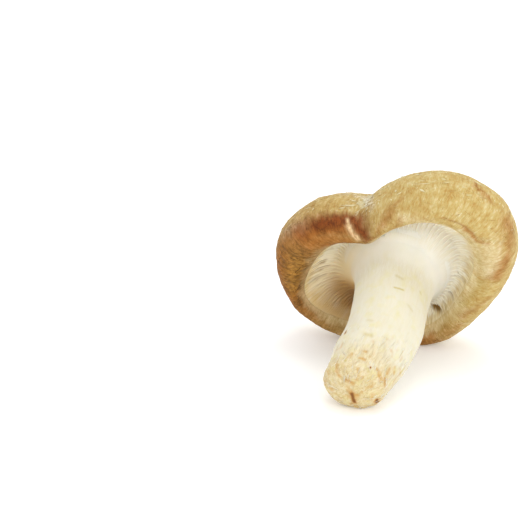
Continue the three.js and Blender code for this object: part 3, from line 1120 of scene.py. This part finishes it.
blades = np.arange(GILL_COUNT)
random = np.random.default_rng(41)
reaches = REACHES[blades % 4] + random.uniform(-REACH_SPREAD, REACH_SPREAD, GILL_COUNT)
crests = random.uniform(-CREST_SPREAD, CREST_SPREAD, GILL_COUNT)
blade_angles = (blades[:, None] + BLADE_PLACES).ravel() * 360 / GILL_COUNT
crown = np.tile(BLADE_CROWN, GILL_COUNT)
reach, crest = per_blade(reaches), per_blade(crests)
gill_shares = np.linspace(0, 1, GILL_RINGS) ** RING_CROWDING
shares = np.append(gill_shares, 1 + np.linspace(0, 1, FLARE_RINGS + 1)[1:])[:, None]
sway_place = round_point(blade_angles, SWAY_RADIUS, SWAY_LENGTH * shares)
sway = GILL_SWAY * grain(sway_place, 3.2 * MM, 42) * ease(shares, 0, 0.15)
gill_angles = blade_angles + sway
blade = crown * (1 - ease(shares, reach - 0.14, reach + 0.03))
deep = ease(shares, 0, 0.2) * (1 - ease(shares, 0.5, 1.0))
tuck = np.where(shares > 1, FLARE_TUCK * (shares - 1) ** 2, 0) - GILL_RAISED
gill_normal = outward(gill_shape, gill_angles, shares, GILL_STEP)
gill_front = gill_shape(gill_angles, shares) - tuck[..., None] * gill_normal
gill_front[..., 2] += GILL_DEPTH * deep * (1 - blade) + crest * deep + HOLE_DEPTH * hole_mark(1, 1)
back_rings = np.stack([gill_front[k] for k in (-1, 0)])
back_rings[..., 2] = BACK_HEIGHT
back_rings[0, :, :2] *= BACK_SHARE
tan_reach = per_blade(random.uniform(*TAN_REACH, GILL_COUNT)) + 0.25 * bell(gill_angles, *RIGHT_GILLS)
rim = 1 - ease(shares + 0.1 * grain(sway_place, 1.1 * MM, 43), 0.0, tan_reach)
tick_depth = per_blade(random.uniform(*TICK_DEPTH, GILL_COUNT)).clip(0, 1)
tick_end = per_blade(random.uniform(*TICK_END, GILL_COUNT))
ticked = np.max([bell(gill_angles, *side) for side in TICKED_GILLS], 0)
ticks = tick_depth * ticked * ease(shares, 0.02, 0.1) * (1 - ease(shares, tick_end - 0.1, tick_end))
# Painted shade, partly browned flesh: deep brown at the lower left, deepening towards the stem, and a light
# tan over the left.
deepened = 0.55 + 0.45 * ease(shares + 0.15 * grain(sway_place, 3 * MM, 44), 0.1, 0.7)
browned = 0.9 * bell(gill_angles, *SHADY_GILLS) * deepened + 0.12 * bell(gill_angles, *LEFT_GILLS)
level = shares + 0 * blade
gills = surface(
    "gills",
    np.vstack((gill_front, back_rings)),
    joined=True,
    fibre=np.vstack((sway_place, sway_place[:2])),
    groove=with_back(np.clip(1 - blade, 0, 1) * deep),
    rim=with_back(rim * (1 - 0.7 * bell(gill_angles, *TOP_GILLS))),
    hole=with_back(hole_mark(1.1, 0.95)),
    browned=with_back(browned),
    bright=with_back(1 - ease(level, 0.35, 0.95)),
    inner=with_back(ease(level, 0.45, 0.8) * (1 - ease(level, 0.95, 1.25))),
    ticks=with_back(ticks * (1 - 0.6 * blade)),
    shaded=with_back(bell(gill_angles, *SHADED_SIDE) * ease(shares, 0.45, 0.95)),
)


def gill_colour(tree, place, ivory):
    """Colour and height of the gills: ivory with painted light towards the lip, tan towards the lip, partly
    browned and mostly painted shade at the lower left and the left, painted shade at the left by the stem's
    flare and in the grooves, dark ticks, and the hole."""
    fine = streaks(tree, kept(tree, "fibre", "Vector"), 0.4 * MM, 3.0 * MM, 0.3 * MM)
    tan = mixed(tree, fine, paint("c4a25c"), paint("eddcae"))
    # Painted light: paler ivory towards the lip, where the margin shades the gills.
    colour = tinted(tree, ivory, kept(tree, "bright"), 0.9, "faf4e0")
    colour = mixed(tree, times(tree, kept(tree, "rim"), 0.9), colour, tan)
    colour = tinted(tree, colour, times(tree, one_minus(tree, fine), kept(tree, "inner")), 0.35, "c9b98c")
    # Painted shade at the left, where the gills meet the stem's flare.
    colour = tinted(tree, colour, kept(tree, "shaded"), *SHADE)
    # Browning and painted shade at the lower left and the left.
    brown = ramp(tree, kept(tree, "browned"), (0.15, "dcc386"), (0.55, "b8925a"), (0.95, "80582a"))
    colour = mixed(tree, times(tree, kept(tree, "browned"), 1.6), colour, brown)
    # Painted shade in the grooves between the blades.
    colour = tinted(tree, colour, kept(tree, "groove"), 0.2, "b8935a")
    colour = tinted(tree, colour, kept(tree, "ticks"), 0.8, "86642e")
    colour = tinted(tree, colour, kept(tree, "hole"), 1.1, "8a682c")
    return colour, fine


gills.data.materials.append(flesh_material("gills", gill_colour))
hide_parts("mushroom")
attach(gills, "root")

# The table: a flat white sheet that runs out of sight on every side. It glows a little, so that it stays
# white to the picture's edges.
TABLE_REACH = 6.0
PAPER_FINISH = {
    "Base Color": (0.94, 0.94, 0.94, 1),
    "Emission Color": (1, 1, 1, 1),
    "Emission Strength": 0.16,
    "Roughness": 0.9,
}

table_mesh = bpy.data.meshes.new("table")
corners = [(x * TABLE_REACH, y * TABLE_REACH, 0) for x, y in ((-1, -1), (1, -1), (1, 1), (-1, 1))]
table_mesh.from_pydata(corners, [], [(0, 1, 2, 3)])
table = bpy.data.objects.new("table", table_mesh)
bpy.context.scene.collection.objects.link(table)
table_mesh.materials.append(new_material("paper", PAPER_FINISH)[0])

# The light: a large soft lamp in front at the right, a larger one overhead, and even white light from
# all round. Each lamp has its name, place, side, power and tint, and faces the cap.
LAMPS = (
    ("key", (0.24, -0.62, 0.40), 0.30, 1.45, (1.0, 1.0, 1.0)),
    ("top", (0.10, 0.12, 0.80), 0.40, 1.35, (1.0, 0.99, 0.97)),
)
for name, place, side, power, tint in LAMPS:
    lamp = bpy.data.objects.new(name, bpy.data.lights.new(name, "AREA"))
    lamp.data.size = side
    lamp.data.energy = power
    lamp.data.color = tint
    lamp.location = place
    lamp.rotation_euler = (Vector(CAP_CENTRE) - lamp.location).to_track_quat("-Z", "Y").to_euler()
    bpy.context.scene.collection.objects.link(lamp)

world = bpy.data.worlds.new("studio")
world.use_nodes = True
world.node_tree.nodes["Background"].inputs["Color"].default_value = (1, 1, 1, 1)
world.node_tree.nodes["Background"].inputs["Strength"].default_value = 1.0
bpy.context.scene.world = world
bpy.context.scene.view_settings.view_transform = "Standard"
